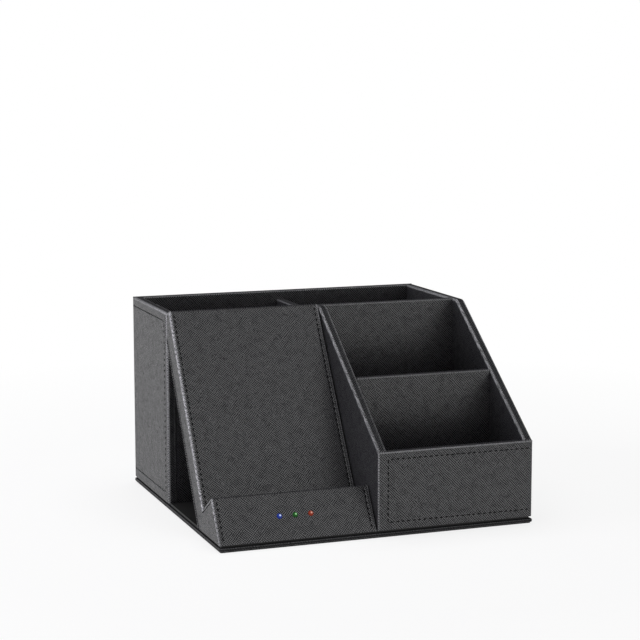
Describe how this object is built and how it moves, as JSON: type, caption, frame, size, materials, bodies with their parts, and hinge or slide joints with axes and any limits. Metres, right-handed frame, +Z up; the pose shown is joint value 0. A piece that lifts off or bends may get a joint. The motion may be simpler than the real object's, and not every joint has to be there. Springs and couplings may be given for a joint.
{
  "type": "desk organizer with charging stand",
  "caption": "Black leather desk organizer: pen box at the rear, sloped tray at the right and a leaning wireless charging stand for a phone at the left.",
  "frame": {"origin": "middle of the underside, on the surface it stands on", "axes": "+X to the right seen from the front, +Y to the rear, +Z up"},
  "size_m": [0.1744, 0.167, 0.1109],
  "materials": {
    "black_leather": "cross-hatch embossed, satin",
    "grey_board": "pressed board, matte",
    "black_felt": "short felt",
    "black_lining": "smooth lining",
    "black_board": "black painted board",
    "module_plastic": "fine moulded texture",
    "ferrite": "sintered, dark grey",
    "copper_wire": "enamelled wire",
    "circuit_board": "green solder mask",
    "chip_resin": "moulded resin",
    "capacitor_ceramic": "ceramic",
    "steel": "plated",
    "light_chip": "clear resin",
    "blue_lens": "clear, lit",
    "green_lens": "clear, lit",
    "red_lens": "clear, lit",
    "white_plastic": "moulded",
    "cable_rubber": "flat cable"
  },
  "bodies": {
    "root": {"base_board": "grey_board", "base_felt": "black_felt", "base_leather": "black_leather", "blue_lens": "blue_lens", "cable_plug": "white_plastic", "capacitors": "capacitor_ceramic", "card_bay_lining": "black_lining", "charging_coil": "copper_wire", "coil_leads": "copper_wire", "controller_chip": "chip_resin", "ferrite_sheet": "ferrite", "floor_board": "black_board", "green_lens": "green_lens", "inductor": "chip_resin", "inlet_bezel": "module_plastic", "inlet_socket": "steel", "inlet_tongue": "chip_resin", "key_bay_lining": "black_lining", "left_pen_lining": "black_lining", "left_wall_board": "grey_board", "left_wall_leather": "black_leather", "light_board": "circuit_board", "light_cable": "cable_rubber", "light_chips": "light_chip", "main_board": "circuit_board", "module_plate": "module_plastic", "module_screws": "steel", "pen_divider_board": "grey_board", "pen_divider_leather": "black_leather", "pen_front_wall_board": "grey_board", "pen_front_wall_leather": "black_leather", "power_chips": "chip_resin", "rear_wall_board": "grey_board", "rear_wall_leather": "black_leather", "red_lens": "red_lens", "right_pen_lining": "black_lining", "right_wall_board": "grey_board", "right_wall_leather": "black_leather", "stand_back_board": "grey_board", "stand_back_leather": "black_leather", "stand_cover": "black_leather", "stand_ledge_board": "grey_board", "stand_left_cheek": "grey_board", "stand_left_leather": "black_leather", "stand_panel_board": "grey_board", "stand_right_cheek": "grey_board", "stand_right_leather": "black_leather", "stand_shelf_board": "grey_board", "tray_divider_board": "grey_board", "tray_divider_leather": "black_leather", "tray_front_wall_board": "grey_board", "tray_front_wall_leather": "black_leather", "tray_left_wall_board": "grey_board", "tray_left_wall_leather": "black_leather"}
  },
  "joints": []
}
